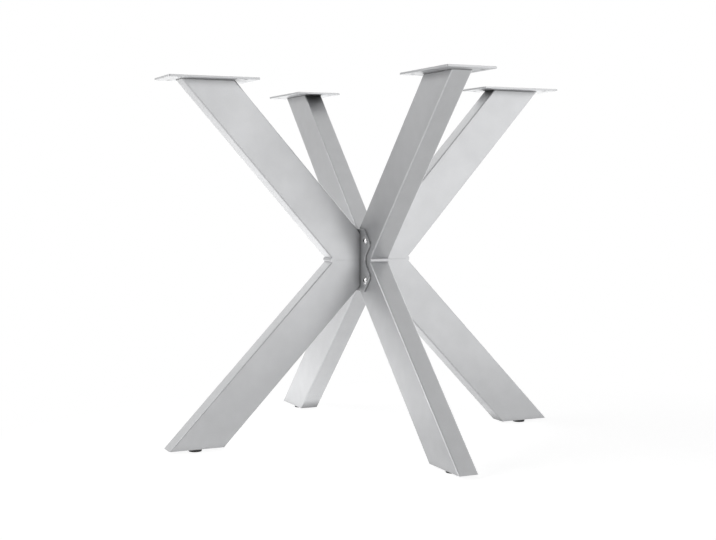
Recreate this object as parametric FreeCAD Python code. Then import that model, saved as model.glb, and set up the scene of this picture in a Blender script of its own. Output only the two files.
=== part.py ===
import FreeCAD, Part
import math
import os

# Table base with four crossing legs, made of rectangular steel tube.
# A full cross stands in the YZ plane. Two half frames, left and right, are bolted
# to its sides through welded flanges. Every leg ends in a top plate and in a levelling foot.
# Millimetres, +Z up. The origin lies on the floor under the middle of the base.

# Overall sizes
base_height = 720.0            # floor to the face that the table top lies on
elbow_height = 364.2           # height where the upper and lower legs meet
top_reach = 394.4              # radius of a leg's outer edge under its top plate
foot_reach = 424.7             # radius of a leg's outer edge at its lower end

# Rectangular tube
tube_width = 80.0              # side that is seen from beside the leg
tube_depth = 40.0
tube_wall = 2.0
tube_corner = 3.0              # outside corner radius
smallest_inner_corner = 0.4

# Top plates
top_plate_length = 180.0       # along the leg
top_plate_width = 100.0
top_plate_thickness = 4.0
top_plate_corner = 3.0
top_plate_overhang = 32.6      # past the leg's outer edge
top_hole_diameter = 9.0
top_hole_spacing_along = 130.0
top_hole_spacing_across = 70.0
plate_edge_break = 0.5         # chamfer round a cut plate

# Joint flanges
flange_thickness = 4.0
flange_height = 126.0
flange_inset = 16.0            # flange edge to the edge of the tube behind it
flange_lobe_length = 70.0      # middle of the cross to the slanted end of a lobe
flange_lobe_corner = 10.0
flange_top_corner = 3.0
flange_waist_radius = 18.0
elbow_offset = 4.0             # flange to where a half frame's centre lines meet

# Joint screws and the nuts that they hold in
screw_spacing_across = 91.0
screw_spacing_up = 80.0
screw_diameter = 8.0
screw_length = 16.0
screw_hole_clearance = 0.5     # radial
screw_tip_chamfer = 0.8
head_flange_diameter = 17.8
head_flange_thickness = 1.4
head_dome_diameter = 14.0
head_height = 4.4
socket_across_flats = 5.0
socket_depth = 2.7
nut_across_flats = 13.0
nut_height = 6.5
nut_bore_clearance = 0.05      # radial, between a thread's crest and the nut
nut_chamfer = 0.8

# Closed lower ends and levelling feet
foot_plate_thickness = 4.0
foot_plate_clearance = 0.15    # closing plate to the tube's inner walls
foot_plate_hole_clearance = 0.08
pad_diameter = 26.0
pad_height = 6.2
pad_lower_chamfer = 0.8
pad_top_chamfer = 1.5
pad_floor = 2.0                # pad material under the stud
stud_diameter = 8.0
stud_length = 34.0
stud_seat_clearance = 0.02
stud_chamfer = 0.8
foot_gap = 0.3                 # pad to the leg's closed end, screwed fully in

# Values that follow
plate_underside = base_height - top_plate_thickness
leg_bottom = pad_height + foot_gap
inner_corner = max(tube_corner - tube_wall, smallest_inner_corner)
flange_face = tube_depth / 2 + flange_thickness      # outer face of a flange, from the middle
far = 2 * (base_height + foot_reach)

# The legs, a quarter turn apart, starting from +X
leg_names = ("right", "back", "left", "front")
half_frames = ("right", "left")


def vector(x, y, z):
    return FreeCAD.Vector(x, y, z)


def save(name, shape):
    """Writes one node and stops on a shape that is not sound."""
    if not shape.isValid() or shape.Volume <= 0:
        raise ValueError("unsound shape: " + name)
    shape.exportStep("parts/" + name + ".step")


def turned(shape, degrees):
    """A copy of the shape, turned round the Z axis."""
    copy = shape.copy()
    copy.rotate(vector(0, 0, 0), vector(0, 0, 1), degrees)
    return copy


def rounded_outline(points, radii):
    """Closed wire through corner points, each corner rounded by its radius."""
    edges = []
    count = len(points)
    starts, ends, mids = [], [], []
    for i, corner in enumerate(points):
        to_last = (points[i - 1] - corner).normalize()
        to_next = (points[(i + 1) % count] - corner).normalize()
        half_angle = to_last.getAngle(to_next) / 2
        tangent = radii[i] / math.tan(half_angle)
        middle = (to_last + to_next).normalize()
        starts.append(corner + to_last * tangent)
        ends.append(corner + to_next * tangent)
        mids.append(corner + middle * (radii[i] / math.sin(half_angle) - radii[i]))
    for i in range(count):
        edges.append(Part.Arc(starts[i], mids[i], ends[i]).toShape())
        edges.append(Part.makeLine(ends[i], starts[(i + 1) % count]))
    return Part.Wire(edges)


def rectangle_outline(length, width, radius):
    """Rounded rectangle in the XY plane, round the origin."""
    x, y = length / 2, width / 2
    corners = [vector(x, y, 0), vector(-x, y, 0), vector(-x, -y, 0), vector(x, -y, 0)]
    return rounded_outline(corners, [radius] * len(corners))


def hexagon_prism(across_flats, height):
    """Hexagonal prism that stands on the XY plane."""
    radius = across_flats / math.sqrt(3)
    corners = [vector(radius * math.cos(math.radians(a)), radius * math.sin(math.radians(a)), 0)
               for a in range(0, 360, 60)]
    return Part.Face(Part.makePolygon(corners + corners[:1])).extrude(vector(0, 0, height))


def revolved(profile):
    """Turns a closed profile, given as (radius, height) points, once round Z."""
    points = [vector(radius, 0, height) for radius, height in profile]
    face = Part.Face(Part.makePolygon(points + points[:1]))
    return face.revolve(vector(0, 0, 0), vector(0, 0, 1), 360)


def leg_angle(rise, reach):
    """Slope of a tube whose centre line starts at the elbow and whose outer edge ends at reach."""
    return math.atan2(rise, reach) + math.asin(tube_width / 2 / math.hypot(rise, reach))


def leg_angles(elbow):
    """Slopes of the upper and the lower tube of a leg, in radians from level."""
    upper = leg_angle(plate_underside - elbow_height, top_reach - elbow)
    lower = leg_angle(elbow_height - leg_bottom, foot_reach - elbow)
    return upper, lower


def sloping_bar(outline, elbow, angle):
    """Bar along a leg's centre line. It runs past both ends and is cut to length later."""
    face = Part.Face(outline)
    face.rotate(vector(0, 0, 0), vector(0, 1, 0), 90)
    bar = face.extrude(vector(far, 0, 0))
    bar.translate(vector(-tube_width, 0, 0))
    bar.rotate(vector(0, 0, 0), vector(0, 1, 0), -math.degrees(angle))
    bar.translate(vector(elbow, 0, elbow_height))
    return bar


def keep_zone(start, elbow, mitre_angle, end_height):
    """Space between the elbow's mitre, the plane where a leg starts and its level end."""
    first, last = [elbow_height + (x - elbow) * math.tan(mitre_angle) for x in (start, far)]
    corners = [vector(start, -tube_depth, first), vector(start, -tube_depth, end_height),
               vector(far, -tube_depth, end_height), vector(far, -tube_depth, last)]
    side = Part.Face(Part.makePolygon(corners + corners[:1]))
    return side.extrude(vector(0, 2 * tube_depth, 0))


def tube_outlines(clearance):
    """Outer outline of the tube, and its inner one made smaller by a clearance."""
    outer = rectangle_outline(tube_width, tube_depth, tube_corner)
    less = 2 * (tube_wall + clearance)
    inner = rectangle_outline(tube_width - less, tube_depth - less, inner_corner)
    return outer, inner


def joint_bore(up):
    """Cylinder across a leg of the full cross, where joint screws pass both side walls."""
    radius = screw_diameter / 2 + screw_hole_clearance
    height = elbow_height + up * screw_spacing_up / 2
    centre = vector(screw_spacing_across / 2, -tube_depth, height)
    return Part.makeCylinder(radius, 2 * tube_depth, centre, vector(0, 1, 0))


def leg_tubes(start, elbow):
    """Upper and lower tube of a leg that points along +X."""
    upper_angle, lower_angle = leg_angles(elbow)
    mitre = (upper_angle - lower_angle) / 2
    outer, inner = tube_outlines(0)
    tubes = []
    for side, angle, end in ((1, upper_angle, plate_underside), (-1, -lower_angle, leg_bottom)):
        bar = sloping_bar(outer, elbow, angle).cut(sloping_bar(inner, elbow, angle))
        tube = bar.common(keep_zone(start, elbow, mitre, end))
        if start == 0:
            tube = tube.cut(joint_bore(side))
        tubes.append(tube)
    return tubes


def broken_edges(plate, axis):
    """The plate with a small chamfer round both of its faces, but not round its holes."""
    box = plate.BoundBox
    faces = {"x": (box.XMin, box.XMax), "z": (box.ZMin, box.ZMax)}[axis]
    chosen = []
    for edge in plate.Edges:
        ends = [getattr(vertex.Point, axis) for vertex in edge.Vertexes]
        level = any(all(abs(value - face) < 1e-6 for value in ends) for face in faces)
        if level and not edge.isClosed():
            chosen.append(edge)
    return plate.makeChamfer(plate_edge_break, chosen)


def top_plate():
    """Top plate of a leg that points along +X."""
    plate = Part.Face(rectangle_outline(top_plate_length, top_plate_width, top_plate_corner))
    plate = plate.extrude(vector(0, 0, top_plate_thickness))
    plate = broken_edges(plate, "z")
    for along in (-1, 1):
        for across in (-1, 1):
            centre = vector(along * top_hole_spacing_along / 2, across * top_hole_spacing_across / 2, 0)
            plate = plate.cut(Part.makeCylinder(top_hole_diameter / 2, top_plate_thickness, centre))
    centre_radius = top_reach + top_plate_overhang - top_plate_length / 2
    plate.translate(vector(centre_radius, 0, plate_underside))
    return plate


def flange_quarter(slope, up):
    """Corners and radii of one quarter of the flange outline, as (across, height) points."""
    edge = tube_width / 2 - flange_inset
    along = vector(math.cos(slope), math.sin(slope), 0)
    aside = vector(math.sin(slope), -math.cos(slope), 0)
    top = flange_height / 2
    end_cut = (flange_lobe_length - top * along.y) / along.x
    waist = vector(edge / math.sin(slope), 0, 0)
    lobe = along * flange_lobe_length + aside * edge
    corners = [vector(end_cut, top, 0), lobe, waist]
    return [vector(p.x, up * p.y, 0) for p in corners]


def flange(side):
    """Waisted flange on the left (-1) or right (1) face of the full cross."""
    upper_slope, lower_slope = leg_angles(0)
    upper = flange_quarter(upper_slope, 1)
    lower = flange_quarter(lower_slope, -1)
    waist = (upper[2] + lower[2]) / 2
    half = upper[:2] + [waist] + lower[1::-1]
    half_radii = [flange_top_corner, flange_lobe_corner, flange_waist_radius,
                  flange_lobe_corner, flange_top_corner]
    mirrored = [vector(-p.x, p.y, 0) for p in reversed(half)]
    plate = Part.Face(rounded_outline(half + mirrored, half_radii + half_radii[::-1]))
    plate = plate.extrude(vector(0, 0, flange_thickness))
    plate.rotate(vector(0, 0, 0), vector(1, 1, 1), 120)
    plate.translate(vector(-flange_thickness / 2, 0, 0))
    plate = broken_edges(plate, "x")
    radius = screw_diameter / 2 + screw_hole_clearance
    for y, z in joint_centres(0):
        centre = vector(-flange_thickness, y, z)
        plate = plate.cut(Part.makeCylinder(radius, 2 * flange_thickness, centre, vector(1, 0, 0)))
    plate.translate(vector(side * (flange_face - flange_thickness / 2), 0, elbow_height))
    return plate


def joint_centres(height):
    """Places of the four joint screws of one flange, as (y, z) about a given height."""
    return [(across * screw_spacing_across / 2, height + up * screw_spacing_up / 2)
            for across in (-1, 1) for up in (-1, 1)]


def joint_screw():
    """Flanged button-head screw that points down, with its head's seat at Z 0."""
    rim, dome = head_flange_diameter / 2, head_dome_diameter / 2
    shank = screw_diameter / 2
    head = Part.makeCylinder(rim, head_flange_thickness)
    dome_rise = head_height - head_flange_thickness
    dome_radius = (dome ** 2 + dome_rise ** 2) / (2 * dome_rise)
    ball = Part.makeSphere(dome_radius, vector(0, 0, head_height - dome_radius))
    cap = ball.common(Part.makeCylinder(dome, head_height))
    head = head.fuse(cap).removeSplitter()
    body = revolved([(0, 0), (shank, 0), (shank, screw_tip_chamfer - screw_length),
                     (shank - screw_tip_chamfer, -screw_length), (0, -screw_length)])
    socket = hexagon_prism(socket_across_flats, socket_depth)
    socket.translate(vector(0, 0, head_height - socket_depth))
    return head.fuse(body).removeSplitter().cut(socket)


def weld_nut(thread_diameter):
    """Hexagon nut that stands on the XY plane, chamfered at its free end."""
    nut = hexagon_prism(nut_across_flats, nut_height)
    corner = nut_across_flats / math.sqrt(3)
    slope = nut_chamfer / math.sqrt(3)
    turned_blank = revolved([(0, 0), (corner, 0), (corner, nut_height - slope),
                             (corner - nut_chamfer, nut_height), (0, nut_height)])
    bore = Part.makeCylinder(thread_diameter / 2 + nut_bore_clearance, nut_height)
    return nut.common(turned_blank).cut(bore)


def joint_group(piece, side, seat):
    """Copies of a piece at the four joint holes, facing outwards on one side."""
    copies = []
    for y, z in joint_centres(elbow_height):
        copy = piece.copy()
        copy.rotate(vector(0, 0, 0), vector(0, 1, 0), 90)
        copy.translate(vector(seat, y, z))
        if side < 0:
            copy.rotate(vector(0, 0, elbow_height), vector(0, 0, 1), 180)
        copies.append(copy)
    return Part.makeCompound(copies)


def foot_radius(elbow):
    """Radius of the foot's axis, at the middle of the closing plate."""
    lower = leg_angles(elbow)[1]
    middle_rise = foot_plate_thickness / 2
    return foot_reach - tube_width / 2 / math.sin(lower) - middle_rise / math.tan(lower)


def foot_plate(elbow):
    """Plate that closes the lower end of a leg that points along +X."""
    lower_angle = leg_angles(elbow)[1]
    inner = tube_outlines(foot_plate_clearance)[1]
    core = sloping_bar(inner, elbow, -lower_angle)
    slab = Part.makeBox(far, 2 * tube_depth, foot_plate_thickness, vector(0, -tube_depth, leg_bottom))
    radius = stud_diameter / 2 + foot_plate_hole_clearance
    hole = Part.makeCylinder(radius, base_height, vector(foot_radius(elbow), 0, 0))
    return core.common(slab).cut(hole)


def foot_pad():
    """Round foot pad on the floor, with a blind hole for its stud."""
    rim = pad_diameter / 2
    top_rim = rim - pad_top_chamfer
    pad = revolved([(0, 0), (rim - pad_lower_chamfer, 0), (rim, pad_lower_chamfer),
                    (rim, pad_height - pad_top_chamfer), (top_rim, pad_height), (0, pad_height)])
    seat = stud_diameter / 2 + stud_seat_clearance
    return pad.cut(Part.makeCylinder(seat, pad_height, vector(0, 0, pad_floor)))


def foot_stud():
    """Threaded rod of a foot, drawn as its outside cylinder with chamfered ends."""
    radius = stud_diameter / 2
    narrow = radius - stud_chamfer
    return revolved([(0, pad_floor), (radius, pad_floor), (radius, pad_floor + stud_length - stud_chamfer),
                     (narrow, pad_floor + stud_length), (0, pad_floor + stud_length)])


def foot_nut():
    """Weld nut on top of a closing plate, for the foot's stud."""
    nut = weld_nut(stud_diameter)
    nut.translate(vector(0, 0, leg_bottom + foot_plate_thickness))
    return nut


def leg_radii(name):
    """Radii where a leg's tubes start and where their centre lines meet."""
    if name in half_frames:
        return flange_face, flange_face + elbow_offset
    return 0.0, 0.0


def make_legs():
    for quarter_turns, name in enumerate(leg_names):
        degrees = 90 * quarter_turns
        start, elbow = leg_radii(name)
        upper, lower = leg_tubes(start, elbow)
        save(name + "_upper_tube", turned(upper, degrees))
        save(name + "_lower_tube", turned(lower, degrees))
        save(name + "_top_plate", turned(top_plate(), degrees))
        save(name + "_foot_plate", turned(foot_plate(elbow), degrees))
        for piece, make in (("_foot_nut", foot_nut), ("_foot_stud", foot_stud), ("_foot_pad", foot_pad)):
            shape = make()
            shape.translate(vector(foot_radius(elbow), 0, 0))
            save(name + piece, turned(shape, degrees))


def make_joints():
    nut = weld_nut(screw_diameter)
    nut.rotate(vector(0, 0, 0), vector(1, 0, 0), 180)
    for name, side in (("left", -1), ("right", 1)):
        save(name + "_flange", flange(side))
        save(name + "_joint_screws", joint_group(joint_screw(), side, flange_face))
        save(name + "_joint_nuts", joint_group(nut, side, tube_depth / 2 - tube_wall))


os.makedirs("parts", exist_ok=True)
make_legs()
make_joints()
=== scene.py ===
"""Looks of a table base with four crossing legs: tubes, welds, screws and levelling feet."""
import logging
import math
from collections.abc import Callable, Iterator, Sequence
from contextlib import contextmanager
from dataclasses import dataclass
from enum import Enum

import bmesh
import bpy
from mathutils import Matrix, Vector


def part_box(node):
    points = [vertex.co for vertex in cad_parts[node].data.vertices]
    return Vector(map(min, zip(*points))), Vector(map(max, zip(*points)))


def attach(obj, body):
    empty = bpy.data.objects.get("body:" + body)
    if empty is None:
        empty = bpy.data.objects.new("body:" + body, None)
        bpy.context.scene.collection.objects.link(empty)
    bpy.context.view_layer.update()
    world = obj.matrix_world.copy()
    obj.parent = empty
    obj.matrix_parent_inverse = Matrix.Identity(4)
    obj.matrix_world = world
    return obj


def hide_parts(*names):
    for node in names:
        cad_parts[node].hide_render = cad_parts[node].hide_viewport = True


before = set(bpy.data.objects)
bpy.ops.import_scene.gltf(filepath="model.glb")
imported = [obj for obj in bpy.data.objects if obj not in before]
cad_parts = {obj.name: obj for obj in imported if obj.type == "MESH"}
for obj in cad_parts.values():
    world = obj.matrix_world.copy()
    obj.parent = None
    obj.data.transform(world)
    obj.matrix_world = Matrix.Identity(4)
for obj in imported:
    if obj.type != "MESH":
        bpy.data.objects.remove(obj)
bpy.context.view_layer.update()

log = logging.getLogger("table_base")

MM = 0.001
NEAR = 1e-5
ROUGHLY = 10 * NEAR
CUT_WITHIN = NEAR / 10
FRAME_BODY = "frame"


class Level(Enum):
    """The two tubes of a leg."""

    UPPER = 1
    LOWER = -1

    @property
    def title(self) -> str:
        """Name of the level as the frame's nodes have it."""
        return self.name.lower()


class Leg(Enum):
    """The legs, by quarter turns from +X."""

    RIGHT = 0
    BACK = 1
    LEFT = 2
    FRONT = 3

    @property
    def title(self) -> str:
        """Name of the leg as the frame's nodes have it."""
        return self.name.lower()

    @property
    def turn(self) -> float:
        """Angle of the leg round Z, in radians."""
        return self.value * math.pi / 2

    @property
    def bolted_on(self) -> bool:
        """Whether the leg starts at a flange and not in the middle of the full cross."""
        return self in (Leg.RIGHT, Leg.LEFT)


class Element(Enum):
    """Kinds of mesh element that can be picked in edit mode."""

    VERT = "verts"
    EDGE = "edges"
    FACE = "faces"


# Modelling steps that the pieces share


def only(piece: bpy.types.Object) -> None:
    """Selects one object, makes it active and deselects all others.

    Args:
        piece: The object that stays selected.
    """
    bpy.ops.object.select_all(action="DESELECT")
    piece.select_set(True)
    bpy.context.view_layer.objects.active = piece


@contextmanager
def editing(piece: bpy.types.Object) -> Iterator[None]:
    """Holds one piece in edit mode, with nothing selected at the start.

    Args:
        piece: The mesh object to edit.
    """
    only(piece)
    bpy.ops.object.mode_set(mode="EDIT")
    bpy.ops.mesh.select_mode(type="VERT")
    bpy.ops.mesh.select_all(action="DESELECT")
    yield
    bpy.ops.object.mode_set(mode="OBJECT")


def pick(piece: bpy.types.Object, element: Element, wanted: Callable[..., bool]) -> int:
    """Selects the elements of a piece in edit mode that pass a test, and no others.

    Args:
        piece: The object in edit mode.
        element: Which kind of element is tested.
        wanted: Says of one element whether it is selected.

    Returns:
        How many elements were selected.
    """
    bpy.ops.mesh.select_mode(type=element.name)
    bpy.ops.mesh.select_all(action="DESELECT")
    mesh = bmesh.from_edit_mesh(piece.data)
    chosen = [item for item in getattr(mesh, element.value) if wanted(item)]
    for item in chosen:
        item.select_set(True)
    mesh.select_flush_mode()
    bmesh.update_edit_mesh(piece.data)
    return len(chosen)


def primitive(name: str, operator: Callable[..., object],
              **settings: object) -> bpy.types.Object:
    """Adds a primitive while nothing else is selected.

    Args:
        name: The name of the new object.
        operator: The operator that adds it.
        settings: Values for the operator.

    Returns:
        The new object.
    """
    bpy.ops.object.select_all(action="DESELECT")
    operator(**settings)
    piece = bpy.context.object
    piece.name = piece.data.name = name
    return piece


def place(piece: bpy.types.Object, turn: Sequence[float] = (0, 0, 0),
          move: Sequence[float] = (0, 0, 0), scale: Sequence[float] = (1, 1, 1)) -> None:
    """Scales, turns and moves a piece, and leaves its object at the origin.

    Args:
        piece: The object to place.
        turn: Turns round X, Y and Z, in radians.
        move: The move after the turn, in metres.
        scale: The scale before the turn.
    """
    piece.scale = scale
    piece.rotation_euler = turn
    piece.location = move
    only(piece)
    bpy.ops.object.transform_apply(location=True, rotation=True, scale=True)


def copied(piece: bpy.types.Object, name: str) -> bpy.types.Object:
    """Copies an object, with a mesh of its own.

    Args:
        piece: The object to copy.
        name: The name of the copy.

    Returns:
        The copy.
    """
    copy = piece.copy()
    copy.data = piece.data.copy()
    copy.name = copy.data.name = name
    bpy.context.collection.objects.link(copy)
    return copy


def joined(name: str, pieces: Sequence[bpy.types.Object]) -> bpy.types.Object:
    """Joins objects into the first of them.

    Args:
        name: The name of the result.
        pieces: The objects to join.

    Returns:
        The joined object.
    """
    only(pieces[0])
    for piece in pieces[1:]:
        piece.select_set(True)
    bpy.ops.object.join()
    pieces[0].name = pieces[0].data.name = name
    return pieces[0]


def finish_with(piece: bpy.types.Object, kind: str, **settings: object) -> None:
    """Adds a modifier to a piece and applies it.

    Args:
        piece: The object to change.
        kind: The modifier's type.
        settings: Values of the modifier's properties.
    """
    only(piece)
    modifier = piece.modifiers.new(kind.lower(), kind)
    for key, value in settings.items():
        setattr(modifier, key, value)
    bpy.ops.object.modifier_apply(modifier=modifier.name)


def smooth(piece: bpy.types.Object, degrees: float = 32.0) -> None:
    """Shades a piece smooth up to an angle, with flat faces kept flat.

    Args:
        piece: The object to shade.
        degrees: The largest angle between two faces that shade as one.
    """
    only(piece)
    bpy.ops.object.shade_smooth_by_angle(angle=math.radians(degrees))
    finish_with(piece, "WEIGHTED_NORMAL", keep_sharp=True)


def tidy_mesh(piece: bpy.types.Object, merge_within: float = NEAR) -> None:
    """Merges the doubles of a piece and points its faces outwards.

    Args:
        piece: The object to tidy.
        merge_within: Vertices closer than this become one.
    """
    with editing(piece):
        bpy.ops.mesh.select_all(action="SELECT")
        bpy.ops.mesh.remove_doubles(threshold=merge_within)
        bpy.ops.mesh.normals_make_consistent(inside=False)


def turned(name: str, profile: Sequence[tuple[float, float]], facets: int) -> bpy.types.Object:
    """Models a turned piece round Z: a filled disc that is extruded along a profile.

    Args:
        name: The name of the piece.
        profile: (radius, height) pairs from one closed end to the other.
        facets: How many sides the round has.

    Returns:
        The piece, closed at both ends.
    """
    first_radius, first_height = profile[0]
    piece = primitive(name, bpy.ops.mesh.primitive_circle_add, vertices=facets,
                      radius=first_radius, fill_type="NGON")
    place(piece, move=(0, 0, first_height))
    with editing(piece):
        bpy.ops.mesh.select_all(action="SELECT")
        for (radius, height), (next_radius, next_height) in zip(profile, profile[1:]):
            bpy.ops.mesh.extrude_region_move(
                TRANSFORM_OT_translate={"value": (0, 0, next_height - height)})
            ratio = next_radius / radius
            bpy.ops.transform.resize(value=(ratio, ratio, 1), center_override=(0, 0, next_height))
    tidy_mesh(piece)
    return piece


def arc_points(centre: tuple[float, float], radius: float, start: float, end: float,
               steps: int) -> list[tuple[float, float]]:
    """Points along an arc of a turned profile.

    Args:
        centre: (radius, height) of the arc's centre.
        radius: The arc's own radius.
        start: First angle in degrees, from the outward direction upwards.
        end: Last angle in degrees.
        steps: How many chords the arc has.

    Returns:
        (radius, height) pairs from the first angle to the last.
    """
    angles = [math.radians(start + (end - start) * i / steps) for i in range(steps + 1)]
    return [(centre[0] + radius * math.cos(a), centre[1] + radius * math.sin(a)) for a in angles]


# Sizes of the base


@dataclass(frozen=True)
class BaseSizes:
    """Sizes that the sub-assemblies share, in metres.

    The frame gives all of them but the last two, which no node's box shows.
    """

    plate_underside: float
    leg_bottom: float
    elbow_height: float
    top_reach: float
    foot_reach: float
    flange_face: float
    tube_depth: float
    tube_width: float = 80 * MM
    elbow_offset: float = 4 * MM

    @classmethod
    def from_frame(cls) -> "BaseSizes":
        """Reads the sizes from the boxes of the front leg and of a flange.

        Returns:
            The sizes.
        """
        upper_low, upper_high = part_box("front_upper_tube")
        lower_low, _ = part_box("front_lower_tube")
        return cls(plate_underside=upper_high.z, leg_bottom=lower_low.z, elbow_height=upper_low.z,
                   top_reach=-upper_low.y, foot_reach=-lower_low.y,
                   flange_face=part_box("right_flange")[1].x, tube_depth=upper_high.x - upper_low.x)

    def start(self, leg: Leg) -> float:
        """Radius at which a leg's tubes start."""
        return self.flange_face if leg.bolted_on else 0.0

    def elbow(self, leg: Leg) -> Vector:
        """Point where the centre lines of a leg's tubes meet, in the leg's own frame."""
        offset = self.elbow_offset if leg.bolted_on else 0.0
        return Vector((self.start(leg) + offset, 0, self.elbow_height))

    def slope(self, leg: Leg, level: Level) -> float:
        """Angle of a tube from level, so that its outer edge ends at the leg's reach.

        Args:
            leg: The leg.
            level: Its upper or its lower tube.

        Returns:
            The angle in radians, above zero for both tubes.
        """
        if level is Level.UPPER:
            rise, reach = self.plate_underside - self.elbow_height, self.top_reach
        else:
            rise, reach = self.elbow_height - self.leg_bottom, self.foot_reach
        run = reach - self.elbow(leg).x
        return math.atan2(rise, run) + math.asin(self.tube_width / 2 / math.hypot(rise, run))

    def mitre(self, leg: Leg) -> float:
        """Slope of the plane in which the two tubes of a leg meet."""
        return (self.slope(leg, Level.UPPER) - self.slope(leg, Level.LOWER)) / 2

    def half_height(self, leg: Leg, level: Level) -> float:
        """How far a leg's tubes reach above or below the elbow's height where they start.

        Args:
            leg: The leg.
            level: Its upper or its lower tube.

        Returns:
            The distance, upwards for the upper tube and downwards for the lower one.
        """
        slope = self.slope(leg, level)
        offset = self.elbow(leg).x - self.start(leg)
        return self.tube_width / 2 / math.cos(slope) - offset * math.tan(slope)


# Tubes


@dataclass
class LegTubes:
    """The mitred rectangular tubes of the four legs."""

    sizes: BaseSizes
    wall: float = 2 * MM
    corner: float = 3 * MM
    inner_corner: float = 1 * MM
    corner_segments: int = 6
    bar_length: float = 0.70
    bar_tail: float = 0.10
    groove: float = 1.5 * MM
    ground_edge: float = 0.25 * MM

    def build(self, leg: Leg, level: Level) -> bpy.types.Object:
        """Models one tube of a leg.

        Args:
            leg: The leg.
            level: Its upper or its lower tube.

        Returns:
            The finished tube in place.
        """
        name = f"{leg.title}_{level.title}_leg"
        outer = self._bar(name, 0.0, self.corner)
        inner = self._bar("bore", self.wall, self.inner_corner)
        with editing(inner):
            bpy.ops.mesh.select_all(action="SELECT")
            bpy.ops.mesh.flip_normals()
        tube = joined(name, [outer, inner])
        angle = level.value * self.sizes.slope(leg, level)
        direction = Vector((math.cos(angle), 0, math.sin(angle)))
        middle = self.sizes.elbow(leg) + direction * (self.bar_length / 2 - self.bar_tail)
        place(tube, turn=(0, -angle, 0), move=middle)
        self._cut(tube, leg, level)
        self._close_rims(tube, leg, level)
        place(tube, turn=(0, 0, leg.turn))
        smooth(tube)
        return tube

    def _bar(self, name: str, inset: float, corner: float) -> bpy.types.Object:
        """Models a long bar along X with rounded long edges.

        Args:
            name: The name of the bar.
            inset: How far its faces lie inside the tube's outer faces.
            corner: The radius of its long edges.

        Returns:
            The bar, round the origin.
        """
        bar = primitive(name, bpy.ops.mesh.primitive_cube_add, size=1)
        across = self.sizes.tube_depth - 2 * inset
        place(bar, scale=(self.bar_length, across, self.sizes.tube_width - 2 * inset))
        with editing(bar):
            pick(bar, Element.EDGE, lambda edge: edge.calc_length() > self.bar_length / 2)
            bpy.ops.mesh.bevel(offset=corner, segments=self.corner_segments, profile=0.5,
                               affect="EDGES")
        return bar

    def _end_height(self, level: Level) -> float:
        """Height of the level end of a tube."""
        return self.sizes.plate_underside if level is Level.UPPER else self.sizes.leg_bottom

    def _cut(self, tube: bpy.types.Object, leg: Leg, level: Level) -> None:
        """Cuts the bars at the middle plane, at the elbow's mitre and at the level end.

        Args:
            tube: The joined outer and inner bars.
            leg: The leg.
            level: Its upper or its lower tube.
        """
        elbow = self.sizes.elbow(leg)
        mitre = self.sizes.mitre(leg)
        away = -level.value
        planes = (
            (Vector((self.sizes.start(leg), 0, 0)), Vector((-1, 0, 0))),
            (elbow, Vector((-away * math.sin(mitre), 0, away * math.cos(mitre)))),
            (Vector((0, 0, self._end_height(level))), Vector((0, 0, level.value))),
        )
        with editing(tube):
            for point, normal in planes:
                bpy.ops.mesh.select_all(action="SELECT")
                bpy.ops.mesh.bisect(plane_co=point, plane_no=normal, clear_outer=True,
                                    threshold=CUT_WITHIN)

    def _close_rims(self, tube: bpy.types.Object, leg: Leg, level: Level) -> None:
        """Bridges the outer wall to the inner one and shapes the rims for welding.

        Args:
            tube: The cut bars.
            leg: The leg.
            level: Its upper or its lower tube.
        """
        end = self._end_height(level)
        start = self.sizes.start(leg)

        def at_end(edge: bmesh.types.BMEdge) -> bool:
            """Whether an edge lies in the plane of the level end."""
            return all(abs(vert.co.z - end) < NEAR for vert in edge.verts)

        def at_start(edge: bmesh.types.BMEdge) -> bool:
            """Whether an edge lies in the plane where the leg's tubes start."""
            return all(abs(vert.co.x - start) < NEAR for vert in edge.verts)

        def on_rim(edge: bmesh.types.BMEdge) -> bool:
            """Whether an edge lies where a cut end meets the outer surface."""
            narrow = any(self._is_rim_face(face, leg, level) for face in edge.link_faces)
            return narrow and all(self._on_surface(vert.co, leg, level) for vert in edge.verts)

        with editing(tube):
            pick(tube, Element.EDGE, lambda edge: edge.is_boundary and at_end(edge))
            bpy.ops.mesh.bridge_edge_loops()
            pick(tube, Element.EDGE, lambda edge: edge.is_boundary)
            bpy.ops.mesh.bridge_edge_loops()
            if level is Level.UPPER:
                pick(tube, Element.EDGE, lambda edge: at_end(edge) and on_rim(edge))
                bpy.ops.mesh.bevel(offset=self.groove, segments=1, affect="EDGES")
            pick(tube, Element.EDGE,
                 lambda edge: on_rim(edge) and not at_end(edge) and not at_start(edge))
            bpy.ops.mesh.bevel(offset=self.ground_edge, segments=1, affect="EDGES")
            if leg.bolted_on:
                pick(tube, Element.EDGE, lambda edge: at_start(edge) and on_rim(edge))
                bpy.ops.mesh.bevel(offset=self.groove, segments=1, affect="EDGES")

    def _is_rim_face(self, face: bmesh.types.BMFace, leg: Leg, level: Level) -> bool:
        """Whether a face reaches from the outer wall to the inner one."""
        outside = [self._on_surface(vert.co, leg, level) for vert in face.verts]
        return any(outside) and not all(outside)

    def _on_surface(self, point: Vector, leg: Leg, level: Level) -> bool:
        """Whether a point lies on the outer surface of a tube in the leg's own frame.

        Args:
            point: The point to test.
            leg: The leg.
            level: Its upper or its lower tube.

        Returns:
            True on the surface, and False inside it.
        """
        angle = level.value * self.sizes.slope(leg, level)
        off = point - self.sizes.elbow(leg)
        high = abs(off.z * math.cos(angle) - off.x * math.sin(angle))
        beyond = Vector((max(high - self.sizes.tube_width / 2 + self.corner, 0),
                         max(abs(point.y) - self.sizes.tube_depth / 2 + self.corner, 0)))
        return beyond.length > self.corner - ROUGHLY


# Weld beads


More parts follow.
